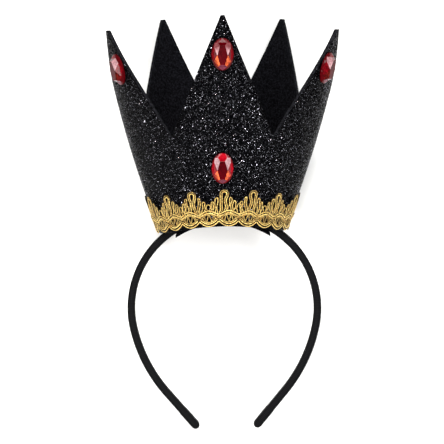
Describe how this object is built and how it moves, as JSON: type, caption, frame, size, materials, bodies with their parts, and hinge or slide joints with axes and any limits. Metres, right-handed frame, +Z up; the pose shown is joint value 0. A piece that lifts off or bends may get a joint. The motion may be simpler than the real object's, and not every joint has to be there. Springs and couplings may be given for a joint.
{
  "type": "mini crown headband",
  "caption": "Headband with a small stiff crown: pointed glitter-felt wall, pierced gimp braid and faceted oval stones, on a fabric-wrapped band.",
  "frame": {"origin": "the mark on the flat of the crown's back, on the floor that it lies on, under the crown's middle", "axes": "+X to the wearer's left, +Y from the band's ends towards the crown's points, +Z up, which is the front of the crown"},
  "size_m": [0.1442, 0.2697, 0.1337],
  "materials": {
    "band_fabric": "ribbed black ribbon wrapped round a plastic band",
    "glitter_felt": "black glitter outside, matte black felt inside",
    "black_felt": "matte felt",
    "gold_braid": "metallic gold gimp",
    "red_stone": "clear red, faceted, foil backed"
  },
  "bodies": {
    "root": {"band": "band_fabric", "crown_wall": "glitter_felt", "crown_floor": "black_felt", "under_patch": "black_felt", "braid": "gold_braid", "gem_front_high": "red_stone", "gem_front_low": "red_stone", "gem_left": "red_stone", "gem_right": "red_stone"}
  },
  "joints": []
}
